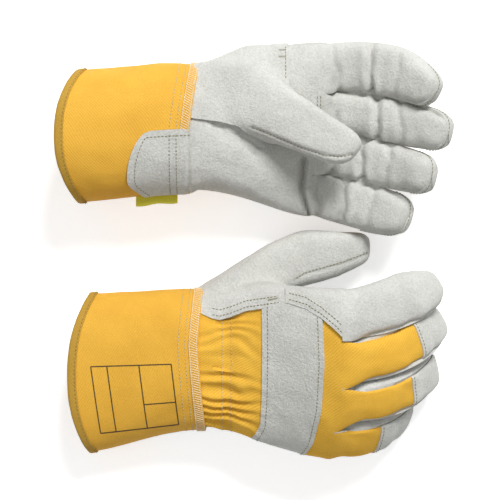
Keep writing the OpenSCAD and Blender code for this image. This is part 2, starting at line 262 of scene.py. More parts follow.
# %% Cuff and hand surfaces
knuckles_w = sum(finger_w) + 3 * finger_gap
palm_half_w = knuckles_w / 2 + 3.6
finger_mid = [knuckles_w / 2 - sum(finger_w[:i]) - i * finger_gap - finger_w[i] / 2 for i in range(4)]
rim_half_w = [half_of(rim_girth, f) for f in rim_flat]
seam_half_w = [half_of(seam_girth, f) for f in seam_flat]
WRIST_INSET = canvas_t + 0.5
ARCH_STEPS = 8


def arch_roll(s, across, share):
    return share * along(across, [(finger_mid[i], finger_roll[s][i]) for i in (3, 2, 1, 0)])


def arch_point(s, across, height, share):
    y = z = 0.0
    for k in range(ARCH_STEPS):
        turn = math.radians(arch_roll(s, across * (k + 0.5) / ARCH_STEPS, share))
        y += math.cos(turn) * across / ARCH_STEPS
        z += math.sin(turn) * across / ARCH_STEPS
    turn = math.radians(arch_roll(s, across, share))
    return y - height * math.sin(turn), z + height * math.cos(turn)


def rim_x(turn):
    return -cuff_l + rim_bow * math.cos(math.radians(turn)) ** 2


def cuff_point(s, x, turn, off=0.0):
    share = ease(1 + x / cuff_l)
    half_w = lerp(rim_half_w[s], seam_half_w[s], share) + off
    half_t = lerp(rim_half_w[s] * rim_flat[s], seam_half_w[s] * seam_flat[s], share) + off
    y, z = oval(half_w, half_t, cuff_power, turn)
    return Vector((x, lerp(rim_at[s][0], 0, share) + y, lerp(rim_at[s][1], 0, share) + z))


web_stops = (((0, 0), (16, 1), (34, 4), (52, 3), (80, 0)),
             ((0, 0), (14, 1.5), (26, 4.5), (36, 7), (50, 5), (66, 2), (90, 0)))


def hand_skin(s, u, q, face, off=0.0):
    share = u / hand_l
    grown = ease(share)
    half_w = lerp(seam_half_w[s] - WRIST_INSET, palm_half_w, grown) + off
    half_t = lerp(seam_half_w[s] * seam_flat[s] - WRIST_INSET, knuckle_t / 2, grown) + off
    p = lerp(cuff_power, knuckle_power, clamp(share))
    across = half_w * q + along(u, web_stops[s]) * max(0.0, q) ** 2
    height = face * half_t * max(0.0, 1 - abs(q) ** p) ** (1 / p)
    y, z = arch_point(s, across, height, grown)
    set_back = along(across, [(finger_mid[i], finger_set[s][i]) for i in (3, 2, 1, 0)])
    ahead = u + clamp(share) * set_back * grown
    return Vector((ahead, knuckle_at[s][0] * grown + y, knuckle_at[s][1] * grown + z))


# %% Finger and thumb surfaces
PATH_STEPS = 40
TIP_POWER = 2.7


def digit_frame(place, roll, yaw, curl, share):
    r = math.radians(roll)
    side0 = Vector((0, math.cos(r), math.sin(r)))
    up0 = Vector((0, -math.sin(r), math.cos(r)))
    turn = math.radians(lerp(yaw[0], yaw[1], share))
    bend = math.radians(lerp(curl[0], curl[1], share))
    level = Vector((math.cos(turn), 0, 0)) + math.sin(turn) * side0
    ahead = math.cos(bend) * level - math.sin(bend) * up0
    side = math.cos(turn) * side0 - Vector((math.sin(turn), 0, 0))
    return place.copy(), ahead, side, ahead.cross(side)


def digit_path(place, roll, length, yaw, curl):
    frames = []
    here = Vector(place)
    for k in range(PATH_STEPS + 1):
        frames.append(digit_frame(here, roll, yaw, curl, k / PATH_STEPS))
        here += digit_frame(here, roll, yaw, curl, (k + 0.5) / PATH_STEPS)[1] * length / PATH_STEPS
    return frames


def finger_place(s, i):
    y, z = arch_point(s, finger_mid[i], 0, 1)
    return hand_l + finger_set[s][i], knuckle_at[s][0] + y, knuckle_at[s][1] + z


def path_of_finger(s, i):
    return digit_path(finger_place(s, i), finger_roll[s][i], finger_l[s][i],
                      finger_yaw[s][i], finger_curl[s][i])


finger_path = [[path_of_finger(s, i) for i in range(4)] for s in (RIGHT, LEFT)]


def twisted(frames, turn):
    c, n = math.cos(math.radians(turn)), math.sin(math.radians(turn))
    return [(place, ahead, c * side + n * up, c * up - n * side) for place, ahead, side, up in frames]


def path_of_thumb(s):
    frames = digit_path(thumb_at[s], thumb_roll[s], thumb_l, thumb_yaw[s], thumb_curl[s])
    return twisted(frames, thumb_twist[s])


thumb_path = [path_of_thumb(s) for s in (RIGHT, LEFT)]


def frame_at(frames, length, f):
    if f <= 0:
        place, ahead, side, up = frames[0]
        return place + f * ahead, ahead, side, up
    spot = min(PATH_STEPS - 1e-6, f / length * PATH_STEPS)
    k = int(spot)
    return [a.lerp(b, spot - k) for a, b in zip(frames[k], frames[k + 1])]


def digit_skin(frames, length, f, half_w, half_t, turn, off=0.0, p=digit_power):
    place, ahead, side, up = frame_at(frames, length, f)
    past = clamp((f - length + tip_l) / tip_l)
    close = (1 - past ** TIP_POWER) ** (1 / TIP_POWER)
    near_thumb = math.cos(math.radians(turn)) > 0
    a, b = oval(half_w[0 if near_thumb else 1] + off, half_t + off, p, turn)
    return place + close * (a * side + b * up) + off * (1 - close) * ahead


# %% Skin that runs from the hand onto the fingers
CLEFT_START, CLEFT_END = hand_l - 8, hand_l + 10
side_turn = {(BACK, 1): (36, 24, 54, 54), (BACK, -1): (20, 36, 36, 36),
             (PALM, 1): (16,) * 4, (PALM, -1): (16,) * 4}
clefts = [(finger_mid[i] - finger_w[i] / 2 - finger_gap / 2) / palm_half_w for i in range(3)]
q_edges = [1.0] + clefts + [-1.0]
tip_taper = (((8.0, 2.0), (3.0, 2.0), (2.0, 2.0), (2.0, 2.0)),
             ((9.0, 0.5), (2.0, 2.0), (2.0, 2.0), (2.0, 2.0)))
TAPER_FROM = 0.45
ROOM_STEP, ROOM_STEPS = 3, 29


def room_beside(s, i, f, j):
    if j not in range(4):
        return 99.0
    here = frame_at(finger_path[s][i], finger_l[s][i], f)[0]
    return min((here - frames[0]).length for frames in finger_path[s][j]) / 2 - 0.3


rooms = [[[[room_beside(s, i, f, j) for f in range(0, 90, ROOM_STEP)] for j in (i - 1, i + 1)]
          for i in range(4)] for s in (RIGHT, LEFT)]


def finger_half(s, i, f):
    share = clamp(f / finger_l[s][i])
    plain = (finger_w[i] + finger_swell * math.sin(math.pi * share)) / 2
    thinned = ease((f / finger_l[s][i] - TAPER_FROM) / (1 - TAPER_FROM)) ** 1.5
    spot = clamp(f / (ROOM_STEP * ROOM_STEPS)) * (ROOM_STEPS - 0.01)
    k = int(spot)
    sides = []
    for side in (0, 1):
        room = lerp(rooms[s][i][side][k], rooms[s][i][side][k + 1], spot - k)
        wide = plain + clamp((room - plain) / finger_plump) * finger_plump * ease((f + 6) / 8)
        sides.append(wide - tip_taper[s][i][side] * thinned)
    return sides


def finger_tube(s, i, f, turn, off=0.0):
    return digit_skin(finger_path[s][i], finger_l[s][i], f, finger_half(s, i, f), finger_t / 2, turn, off)


def edge_reach(i, lateral, face):
    outer = (i == 0 and lateral > 0) or (i == 3 and lateral < 0)
    turn = side_turn[(face, 1 if lateral > 0 else -1)][i]
    return lateral if outer else lateral * math.cos(math.radians(turn)) ** (2 / digit_power)


def skin(s, i, u, v, face, off=0.0):
    on_finger = ease((u - CLEFT_START) / (CLEFT_END - CLEFT_START))
    on_hand = hand_skin(s, min(u, CLEFT_END), lerp(q_edges[i], q_edges[i + 1], v), face, off)
    if on_finger == 0:
        return on_hand
    f = u - hand_l
    turn = math.degrees(math.acos(max(-1, min(1, power(edge_reach(i, 1 - 2 * v, face), digit_power / 2)))))
    return on_hand.lerp(finger_tube(s, i, f, face * turn, off), on_finger)


def strip_at(q):
    i = next(k for k in range(4) if q >= q_edges[k + 1] - 1e-9)
    return i, (q_edges[i] - q) / (q_edges[i] - q_edges[i + 1])


lift = [rim_half_w[s] * rim_flat[s] + ply_gap + binding_t - (1, -1)[s] * rim_at[s][1] for s in (RIGHT, LEFT)]


def placed(s, p):
    return Vector((glove_at[s][0] + p[0], glove_at[s][1] + p[1], lift[s] + (1, -1)[s] * p[2])) * MM


print("fingers", [round(frames[-1][0].x) for frames in finger_path[RIGHT]], "mm from the wrist")

# %% [markdown]
# ## Folds and wrinkles
# Worn leather and cotton are never smooth. Low, slow noise gives the slack of an empty glove,
# finer noise the wrinkles, and a few placed creases follow the ones in the photograph.
# Each is a height in millimetres that is added along the surface's own normal.

# %% Relief
finger_folds = {
    (RIGHT, BACK): ((0.05, 0.4, 5), (0.40, 0.6, 5), (0.66, 0.6, 4)),
    (RIGHT, PALM): ((0.04, 1.2, 4), (0.40, 1.4, 4), (0.68, 1.2, 4)),
    (LEFT, BACK): ((0.05, 0.4, 5), (0.42, 0.6, 5), (0.68, 0.6, 4)),
    (LEFT, PALM): ((0.03, 2.8, 3.2), (0.34, 3.2, 2.8), (0.60, 1.2, 3.2)),
}
palm_creases = {
    (LEFT, PALM): ((((81, -20), (84, -40), (91, -58)), 6.0, 2.4),
                   (((16, 2), (31, -5.5), (46, -15)), 2.8, 3.0),
                   (((22, -8), (34, -13), (44, -21)), 2.0, 2.6)),
}


def away_from(x, y, stops):
    spot = Vector((x, y))
    nearest = 99.0
    for a, b in zip(stops, stops[1:]):
        start, leg = Vector(a), Vector(b) - Vector(a)
        share = clamp((spot - start).dot(leg) / leg.length_squared)
        nearest = min(nearest, (spot - start - leg * share).length)
    return nearest


def slack(x, y, seed, amount=1.0):
    p = Vector((x, y, seed))
    low = noise.noise(p / 33) * 1.5
    mid = noise.noise(p / 13 + Vector((7, 3, 1))) * 0.7
    fine = noise.noise(p / 5.2 + Vector((1, 9, 4))) * 0.2
    return amount * (low + mid + fine)


def gathers(u, across):
    drawn = bump(u - 17, 17)
    ulnar = 0.45 + 0.55 * ease((12 - across) / 30)
    wander = noise.noise(Vector((u / 24, across / 17, 2.5))) * 1.1
    folds = math.sin(2 * math.pi * (across / 8.5 + wander))
    return drawn * ulnar * 1.5 * folds - 1.5 * bump(u - 17.5, 6)


def relief(s, face, u, across, i=0, v=0.5):
    high = slack(u, across, 90 * face + 300 * s)
    if face == BACK:
        high += gathers(u, across)
    for stops, depth, width in palm_creases.get((s, face), ()):
        high -= depth * bump(away_from(u, across, stops), width)
    f = u - hand_l
    if f > -12:
        for share, depth, width in finger_folds[(s, face)]:
            wander = 3.2 * noise.noise(Vector((v * 2.4, i * 3 + s, share * 9)))
            wander += 5 * noise.noise(Vector((i * 1.7, s, share * 13)))
            away = f + 0.18 * (0.5 - v) * finger_w[i] + wander - share * finger_l[s][i]
            uneven = 0.6 + 0.8 * noise.noise(Vector((i * 2.3, share * 7, v * 3 + s)))
            deep = depth * (0.65 + 0.7 * abs(2 * v - 1) * uneven)
            high += deep * (0.3 * bump(abs(away) - 1.9 * width, width) - bump(away, 0.85 * width))
        edge = min(v, 1 - v) * finger_w[i] * 1.3
        high -= 0.9 * bump(edge, 1.4) * ease((f + 8) / 8)
    return high


# %% [markdown]
# ## Cutting a panel
# Every panel starts as a flat grid, the cloth on the cutting table. Each of its points is moved to its
# place on the form, the flat distance in hundreds of millimetres is kept as the UV map for the weave,
# and Solidify gives the wall. The panel is turned so that its faces look out of the glove.


# %% Panels
def laid(rows, cols, place, inside, flat=None):
    bm = bmesh.new()
    bmesh.ops.create_grid(bm, x_segments=rows, y_segments=cols, size=0.5)
    spots = {vert: (vert.co.x + 0.5, vert.co.y + 0.5) for vert in bm.verts}
    if flat:
        cloth = bm.loops.layers.uv.new("cloth")
        for face in bm.faces:
            for loop in face.loops:
                x, y = flat(*spots[loop.vert])
                loop[cloth].uv = (x / 100, y / 100)
    centres = {vert: inside(*spots[vert]) for vert in bm.verts}
    for vert, spot in spots.items():
        vert.co = place(*spot)
    bm.normal_update()
    out = sum(face.normal.dot(face.calc_center_median() - centres[face.verts[0]]) for face in bm.faces)
    if out < 0:
        bmesh.ops.reverse_faces(bm, faces=bm.faces[:])
    bmesh.ops.remove_doubles(bm, verts=bm.verts[:], dist=2e-6)
    return bm


made_pieces = []
SHARP_ANGLE = math.radians(55)


def piece(bm, name, finish, thickness=0.0):
    mesh = bpy.data.meshes.new(name)
    bm.to_mesh(mesh)
    made = bpy.data.objects.new(name, mesh)
    scene.collection.objects.link(made)
    if thickness:
        wall = made.modifiers.new("wall", "SOLIDIFY")
        wall.thickness = thickness * MM
        wall.offset = -1
        bm.clear()
        bm.from_object(made, bpy.context.evaluated_depsgraph_get())
        made.modifiers.clear()
        bm.to_mesh(mesh)
    bm.free()
    mesh.materials.append(finish)
    mesh.polygons.foreach_set("use_smooth", [True] * len(mesh.polygons))
    mesh.set_sharp_from_angle(angle=SHARP_ANGLE)
    made_pieces.append(made)
    return made


# %% [markdown]
# ## Finishes
# Split suede is the flesh side of the hide: matt, with a short nap and cloudy patches.
# Cotton drill shows its twill line, and the cuff's rubberised canvas a finer and harder weave.

# %% Suede
# Clouds of 24 mm give the patchy hide, and the nap breaks up the light so that the suede looks soft.
# The nap is about 0.3 mm long on the hide, and is drawn as grains of 1.5 mm so that it shows.
suede, tree = finish_of("split_suede")
spot = add(tree, "ShaderNodeTexCoord").outputs["Object"]
clouds = add(tree, "ShaderNodeTexNoise", {
    "Vector": spot, "Scale": 1 / 0.024, "Detail": 3.0, "Roughness": 0.6})
nap = add(tree, "ShaderNodeTexNoise", {"Vector": spot, "Scale": 1 / 0.0015, "Detail": 3.0, "Roughness": 0.8})
uneven = add(tree, "ShaderNodeMath", {0: clouds.outputs[0], 1: 0.5}, operation="MULTIPLY")
mixed = add(tree, "ShaderNodeMath", {0: uneven.outputs[0], 1: nap.outputs[0]}, operation="ADD")
shade = add(tree, "ShaderNodeMapRange", {"Value": mixed.outputs[0], "From Min": 0.5, "From Max": 1.0})
tone = add(tree, "ShaderNodeMix", {
    0: shade.outputs[0], 6: colour("#B9B9B3"), 7: colour("#DADAD5")}, data_type="RGBA")
raised = add(tree, "ShaderNodeBump", {"Height": nap.outputs[0], "Strength": 1.0, "Distance": 0.0008})
skin_shader = add(tree, "ShaderNodeBsdfPrincipled", {
    "Base Color": tone.outputs[2], "Roughness": 0.95, "Normal": raised.outputs[0],
    "Sheen Weight": 0.25, "Sheen Roughness": 0.5, "Specular IOR Level": 0.2})
add(tree, "ShaderNodeOutputMaterial", {"Surface": skin_shader.outputs[0]})


# %% Woven cloths
# Diagonal lines, slubs and slow fading give the eye a twill that has been washed and handled.
# A drill's lines lie about 0.9 mm apart. They are drawn 1.7 mm apart, and the other cloths coarser
# in step with them, so that they show at 0.65 mm to the pixel.
def woven(name, high, low, pitch_mm, rough, specular):
    made, tree = finish_of(name)
    cloth = add(tree, "ShaderNodeUVMap", uv_map="cloth").outputs[0]
    scale = 2 * math.pi / (10 * math.sqrt(2) * pitch_mm / 100)
    line = add(tree, "ShaderNodeTexWave", {"Vector": cloth, "Scale": scale}, bands_direction="DIAGONAL")
    slubs = add(tree, "ShaderNodeTexNoise", {
        "Vector": cloth, "Scale": 100 / 0.9, "Detail": 3.0, "Roughness": 0.7})
    cloud = add(tree, "ShaderNodeTexNoise", {"Vector": cloth, "Scale": 100 / 24.0, "Detail": 3.0})
    faint = add(tree, "ShaderNodeMath", {0: line.outputs["Fac"], 1: 0.32}, operation="MULTIPLY")
    weave = add(tree, "ShaderNodeMath", {0: faint.outputs[0], 1: slubs.outputs[0]}, operation="ADD")
    faded = add(tree, "ShaderNodeMath", {0: cloud.outputs[0], 1: 0.6}, operation="MULTIPLY")
    both = add(tree, "ShaderNodeMath", {0: weave.outputs[0], 1: faded.outputs[0]}, operation="ADD")
    shade = add(tree, "ShaderNodeMapRange", {"Value": both.outputs[0], "From Min": 0.6, "From Max": 1.4})
    tone = add(tree, "ShaderNodeMix", {
        0: shade.outputs[0], 6: colour(low), 7: colour(high)}, data_type="RGBA")
    raised = add(tree, "ShaderNodeBump", {"Height": weave.outputs[0], "Strength": 0.6, "Distance": 0.0005})
    shader = add(tree, "ShaderNodeBsdfPrincipled", {
        "Base Color": tone.outputs[2], "Roughness": rough, "Normal": raised.outputs[0],
        "Specular IOR Level": specular})
    add(tree, "ShaderNodeOutputMaterial", {"Surface": shader.outputs[0]})
    return made


# The canvas and the label shine a little more than the drill, the lining and the elastic.
drill = woven("cotton_drill", "#F3C34C", "#D9A235", 1.7, 0.9, 0.2)
canvas = woven("rubberised_canvas", "#EDB943", "#D8A034", 1.3, 0.75, 0.3)
tape = woven("binding_tape", "#C79E44", "#A98430", 0.9, 0.85, 0.2)
lining = woven("cotton_lining", "#D8D2C2", "#BDB6A4", 1.4, 0.95, 0.1)
elastic = woven("woven_elastic", "#F2EFE6", "#D8D4C8", 1.2, 0.9, 0.1)
label = woven("satin_label", "#F4EC50", "#DED53A", 0.8, 0.6, 0.4)


# %% Threads
# Spun polyester with a slight gloss. Noise of 2.2 mm, about one stitch, makes each stitch a little
# lighter or darker than the next.
def thread_of(name, high, low):
    made, tree = finish_of(name)
    spot = add(tree, "ShaderNodeTexCoord").outputs["Object"]
    grain = add(tree, "ShaderNodeTexNoise", {"Vector": spot, "Scale": 1 / 0.0022, "Detail": 2.0})
    tone = add(tree, "ShaderNodeMix", {
        0: grain.outputs[0], 6: colour(low), 7: colour(high)}, data_type="RGBA")
    shader = add(tree, "ShaderNodeBsdfPrincipled", {"Base Color": tone.outputs[2], "Roughness": 0.7})
    add(tree, "ShaderNodeOutputMaterial", {"Surface": shader.outputs[0]})
    return made


olive_thread = thread_of("olive_thread", "#94906C", "#6E6B4E")
grey_thread = thread_of("grey_thread", "#D2C8A8", "#A89C78")
overlock_thread = thread_of("overlock_thread", "#F0DDB8", "#D9BC88")
amber_thread = thread_of("amber_thread", "#A8894A", "#7C6228")
print("finishes:", len(bpy.data.materials))

# %% [markdown]
# ## The cuffs
# A cuff is a stiff tube of rubberised canvas, wider at the rim than at the wrist, with the rim bound in tape.
# The wrist seam isn't quite square to the cuff, so its place is read from the photograph at three heights.

# %% Cuff panels
seam_stops = (((-46, 3.0), (8, -2.0), (48, 1.5)), ((-46, -0.5), (-2, -0.5), (42, 6.0)))


def seam_x(s, turn):
    return along(seam_half_w[s] * math.cos(math.radians(turn)), seam_stops[s])


def cuff_relief(s, x, turn):
    return 0.75 * slack(x, turn * 0.7, 500 + 100 * s) * (1 - 0.6 * bump(x + cuff_l, 12))


def on_cuff(s, x, turn, off=0.0):
    wrapped = (turn + 180) % 360 - 180
    away = ease((180 - abs(wrapped)) / 12)
    return placed(s, cuff_point(s, x, turn, off + away * cuff_relief(s, x, wrapped)))


def cuff_axis(s, x):
    share = ease(1 + x / cuff_l)
    return placed(s, (x, lerp(rim_at[s][0], 0, share), lerp(rim_at[s][1], 0, share)))


pieces_of = {}
for s in (RIGHT, LEFT):
    def cuff_x(a, b):
        return lerp(rim_x(360 * b) + 0.3, seam_x(s, 360 * b), a)

    bm = laid(56, 160, lambda a, b: on_cuff(s, cuff_x(a, b), 360 * b),
              lambda a, b: cuff_axis(s, cuff_x(a, b)),
              flat=lambda a, b: (cuff_x(a, b), b * seam_girth))
    made = piece(bm, SIDES[s] + "_cuff", canvas, canvas_t)
    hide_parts(SIDES[s] + "_cuff_panel")
    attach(made, SIDES[s] + "_cuff")
    pieces_of[(s, "cuff")] = made
print("cuffs", [round(2 * w) for w in seam_half_w], "mm wide at the wrist")

# %% Binding
BINDING_FOLD = ((5.0, 0.35), (4.9, 0.75), (2.5, 0.95), (0.5, 0.9), (-0.5, 0.45), (-0.9, -0.7),
                (-0.5, -1.9), (0.5, -2.3), (2.5, -2.5), (4.9, -2.2))
for s in (RIGHT, LEFT):
    def fold_at(b):
        k = min(len(BINDING_FOLD) - 2, int(b * (len(BINDING_FOLD) - 1)))
        t = b * (len(BINDING_FOLD) - 1) - k
        (x0, h0), (x1, h1) = BINDING_FOLD[k], BINDING_FOLD[k + 1]
        return lerp(x0, x1, t), lerp(h0, h1, t)

    def bound(a, b):
        x, high = fold_at(b)
        turn = 360 * a
        wave = 0.35 * noise.noise(Vector((turn / 9, b * 3, 40 + s))) * math.sin(math.pi * a) ** 0.3
        return on_cuff(s, rim_x(turn) + x + 0.6 * wave, turn, high + 0.3 * wave)

    bm = laid(200, 27, bound, lambda a, b: on_cuff(s, rim_x(360 * a) + 3, 360 * a, -0.8),
              flat=lambda a, b: (a * rim_girth, b * 13))
    made = piece(bm, SIDES[s] + "_rim_binding", tape, 0.5)
    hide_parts(SIDES[s] + "_cuff_binding")
    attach(made, SIDES[s] + "_cuff")
    pieces_of[(s, "binding")] = made
print("rims", [round(2 * w) for w in rim_half_w], "mm wide")

# %% [markdown]
# ## The palm and the back
# The palm is one piece of suede from the wrist to the roots of the fingers, with a cotton lining behind it.
# The back is one piece of drill, and a band of elastic behind it gathers the cloth near the wrist.
# All four cross the wrist seam.


# %% Palm, lining and back
def spread(b):
    return power(math.cos(math.radians(180 * b)), 2 / 3)


def on_hand(s, u, q, face, off=0.0):
    i, v = strip_at(q)
    edge = ease((1 - abs(q)) / 0.04)
    return placed(s, skin(s, i, u, v, face, off + edge * relief(s, face, u, q * palm_half_w, i, v)))


def hand_axis(s, u):
    grown = ease(u / hand_l)
    return placed(s, (u, knuckle_at[s][0] * grown, knuckle_at[s][1] * grown))


def hand_panel(s, name, finish, u0, u1, b0, b1, face, off, wall, rows, cols):
    def place(a, b):
        return on_hand(s, lerp(u0, u1, a), spread(lerp(b0, b1, b)), face, off)

    bm = laid(rows, cols, place, lambda a, b: hand_axis(s, lerp(u0, u1, a)),
              flat=lambda a, b: (lerp(u0, u1, a), -spread(lerp(b0, b1, b)) * 68))
    return piece(bm, SIDES[s] + "_" + name, finish, wall)


for s in (RIGHT, LEFT):
    palm = hand_panel(s, "palm", suede, -4, CLEFT_START, 0, 1, PALM, 0, leather_t, 70, 110)
    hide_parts(SIDES[s] + "_palm_panel")
    backing = hand_panel(s, "lining", lining, -3, CLEFT_START, 0.03, 0.97, PALM, -2.4, lining_t,
                         60, 90)
    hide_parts(SIDES[s] + "_palm_lining")
    back = hand_panel(s, "back", drill, -4, CLEFT_START, 0.12, 1, BACK, 0, drill_t, 80, 150)
    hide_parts(SIDES[s] + "_back_panel")
    band = hand_panel(s, "elastic", elastic, 13, 21, 0.22, 0.94, BACK, -1.2, 1.0, 8, 80)
    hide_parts(SIDES[s] + "_wrist_elastic")
    for made in (palm, backing, back, band):
        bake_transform(made)
    pieces_of[(s, "palm")] = palm
    pieces_of[(s, "back")] = back
print("hands", round(2 * palm_half_w), "mm wide at the knuckles")

# %% [markdown]
# ## The strap and the index band
# A suede strap crosses the back over the knuckles, and a suede band runs from the thumb seam up the
# index finger. Both are sewn flat on the drill, so they lie on the same form, one leather's thickness higher.

# %% Strap and band
strap_from, strap_to = 40, 78
band_from = (55, 64)
band_edge = ((50, 0.80), (55, 0.79), (68, 0.74), (77, 0.655), (87, 0.52), (92, 0.44), (300, 0.44))


def strap_u(a, q):
    return lerp(strap_from, strap_to, a) - 6 * ease((-q - 0.62) / 0.38)


def band_off(u, q=0.0):
    return (leather_t + 0.5) * (1 - ease((u - 86) / 22)) * (1 - 0.8 * ease((q - 0.9) / 0.1))


for s in (RIGHT, LEFT):
    def strap_place(a, b):
        q = spread(lerp(0.19, 0.97, b))
        sunk = leather_t * ease((0.12 - 1 - q) / 0.12)
        return on_hand(s, strap_u(a, q), q, BACK, leather_t - sunk - 0.1 * bump(min(a, 1 - a), 0.03))

    bm = laid(34, 110, strap_place, lambda a, b: hand_axis(s, lerp(strap_from, strap_to, a)))
    strap = piece(bm, SIDES[s] + "_strap", suede, leather_t)
    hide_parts(SIDES[s] + "_knuckle_strap")
    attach(strap, SIDES[s] + "_hand")
    pieces_of[(s, "strap")] = strap

    def band_place(a, b):
        u = lerp(band_from[s], CLEFT_START, a)
        q = lerp(1, along(u, band_edge), b ** 1.6)
        return on_hand(s, u, q, BACK, band_off(u, q))

    bm = laid(30, 36, band_place, lambda a, b: hand_axis(s, lerp(band_from[s], CLEFT_START, a)))
    band = piece(bm, SIDES[s] + "_band", suede, leather_t)
    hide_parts(SIDES[s] + "_index_band")
    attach(band, SIDES[s] + "_hand")
    pieces_of[(s, "band")] = band
print("straps", strap_to - strap_from, "mm wide")

# %% [markdown]
# ## The fingers
# Each finger has a suede front, a back of drill with a suede tip, and narrow suede sides between them.
# The index finger is suede all round. The panels start where the hand's panels end, on the same surface.


# %% Fingers
def on_finger(s, i, u, v, face, off=0.0):
    across = lerp(q_edges[i], q_edges[i + 1], v) * palm_half_w
    end = ease((hand_l + finger_l[s][i] - u) / 9)
    outer = (i == 0 and v < 0.5) or (i == 3 and v > 0.5)
    edge = ease(min(v, 1 - v) / 0.06) if outer else 1
    return placed(s, skin(s, i, u, v, face, off + end * edge * relief(s, face, u, across, i, v)))


def finger_axis(s, i, u):
    return placed(s, frame_at(finger_path[s][i], finger_l[s][i], u - hand_l)[0])


SIDE_PROUD = 0.45


def side_wall(s, i, u, lateral, b):
    v = 0 if lateral > 0 else 1
    top, bottom = on_finger(s, i, u, v, BACK), on_finger(s, i, u, v, PALM)
    f = u - hand_l
    turn = lerp(side_turn[(BACK, lateral)][i], -side_turn[(PALM, lateral)][i], b)
    turn = turn if lateral > 0 else 180 - turn
    tube = placed(s, finger_tube(s, i, f, turn, SIDE_PROUD))
    wall = top.lerp(bottom, b)
    return wall.lerp(tube, ease((u - CLEFT_START) / 7) * ease(min(b, 1 - b) / 0.1))


TIP_LAP, TIP_PROUD = 4, 0.9
INNER_SIDES = ((-1,), (1, -1), (1, -1), (1,))


def finger_panel(s, i, part, finish, u0, u1, face, off, wall, rows, cols):
    bm = laid(rows, cols, lambda a, b: on_finger(s, i, lerp(u0, u1, a), b, face, off),
              lambda a, b: finger_axis(s, i, lerp(u0, u1, a)),
              flat=lambda a, b: (lerp(u0, u1, a), -q_edges[i] * 62 + b * finger_w[i] * 1.25))
    return piece(bm, "_".join((SIDES[s], FINGERS[i], part)), finish, wall)


for s in (RIGHT, LEFT):
    for i in range(4):
        name = SIDES[s] + "_" + FINGERS[i]
        end = hand_l + finger_l[s][i]
        parts = [finger_panel(s, i, "front_panel", suede, CLEFT_START, end, PALM, 0, leather_t,
                              64, 26)]
        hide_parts(name + "_front")
        if i == 0:
            def index_place(a, b):
                u, v = lerp(CLEFT_START, end, a), b ** 1.3
                return on_finger(s, 0, u, v, BACK, band_off(u, lerp(1, q_edges[1], v)))

            bm = laid(64, 26, index_place, lambda a, b: finger_axis(s, 0, lerp(CLEFT_START, end, a)))
            parts.append(piece(bm, name + "_back_panel", suede, leather_t))
            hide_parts(name + "_back")
        else:
            cut = hand_l + drill_l[s][i]
            parts.append(finger_panel(s, i, "back_panel", drill, CLEFT_START, cut + TIP_LAP, BACK, 0,
                                      drill_t, 44, 30))
            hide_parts(name + "_back")
            parts.append(finger_panel(s, i, "tip_panel", suede, cut, end, BACK, TIP_PROUD, leather_t,
                                      34, 26))
            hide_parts(name + "_tip")
        for lateral in INNER_SIDES[i]:
            bm = laid(50, 10, lambda a, b: side_wall(s, i, lerp(CLEFT_START, end, a), lateral, b),
                      lambda a, b: finger_axis(s, i, lerp(CLEFT_START, end, a)))
            parts.append(piece(bm, name + "_side_" + ("a" if lateral > 0 else "b"), suede, 1.0))
            if i > 0:
                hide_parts(name + "_sides")
        start = finger_axis(s, i, CLEFT_START)
        stop = finger_axis(s, i, CLEFT_END)
        for made in parts:
            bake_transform(made)
            pieces_of[(s, i, made.name.split("_", 2)[2])] = made
print("pieces so far:", len(made_pieces))

# %% [markdown]
# ## The thumb and its wrap
# The thumb and the suede that wraps the hand's edge are cut from one piece and swell into each other,
# so no simple grid gives the shape. The hand's tube and the thumb's tube are fused by a voxel remesh,
# the join is smoothed, and the wrap's outline is cut from the fused skin.

# %% Thumb and wrap
WRAP_OFF = leather_t
wrap_back_edge = ((-6, 31), (0, 31), (8, 27.5), (13, 26.5), (20, 28.5), (30, 32.5), (40, 34), (53, 36),
                  (70, 37))
wrap_palm_edge = ((-6, 5), (0, 5), (18, 3), (36, -1), (51, -6.5), (71, -15.6))
thumb_half_w = ((((-26, 26), (-17, 25), (0, 22), (19, 20), (42, 20), (52, 18.5), (62, 14.5), (77, 8.5),
                  (92, 7)),
                 ((-26, 20), (-10, 18), (6, 15), (28, 13), (46, 16.5), (63, 17.7), (80, 15), (92, 14))),
                (((-26, 9), (-10, 16), (6, 20), (22, 18), (36, 12), (60, 10), (80, 8.5), (92, 7)),
                 ((-26, 26), (-10, 25), (6, 24), (22, 24), (36, 23), (60, 21), (80, 18), (92, 14))))
thumb_half_t = (((-26, 14), (-10, 18), (6, 17), (30, 12.5), (60, 9.5), (92, 8)),
                ((-26, 9), (-10, 11.5), (6, 12), (30, 10.5), (60, 8.8), (92, 7.5)))
thumb_seam = (((62, 51.5), (68.3, 55.3), (93.6, 62.4), (110.5, 68.9)),
              ((40, -1.2), (50.7, -5.2), (70.9, -14.1), (85.8, -19.2), (95.6, -20.4), (104, -18.6)))
seam_face = (BACK, PALM)
wrap_end = (56, 64)
WRAP_FROM = -1.5
HAND_TUBE = (-4, 92)
THUMB_ROOT = -26
THUMB_CLEAR = 1.6
FUSE_VOXEL = 1.3
SMOOTH_PASSES = 24


def tube(bm, rows, cols, place):
    sleeve = bmesh.ops.create_grid(bm, x_segments=rows, y_segments=cols, size=0.5)["verts"]
    for vert in sleeve:
        vert.co = place(vert.co.x + 0.5, vert.co.y + 0.5)
    bmesh.ops.remove_doubles(bm, verts=sleeve, dist=0.001)
    bmesh.ops.holes_fill(bm, edges=[e for e in bm.edges if e.is_boundary])


def hand_tube(s, a, b):
    u = lerp(*HAND_TUBE, a)
    turn = 360 * b
    face = BACK if b <= 0.5 else PALM
    q = power(math.cos(math.radians(turn)), 2 / 3)
    return hand_skin(s, u, q, face, WRAP_OFF)


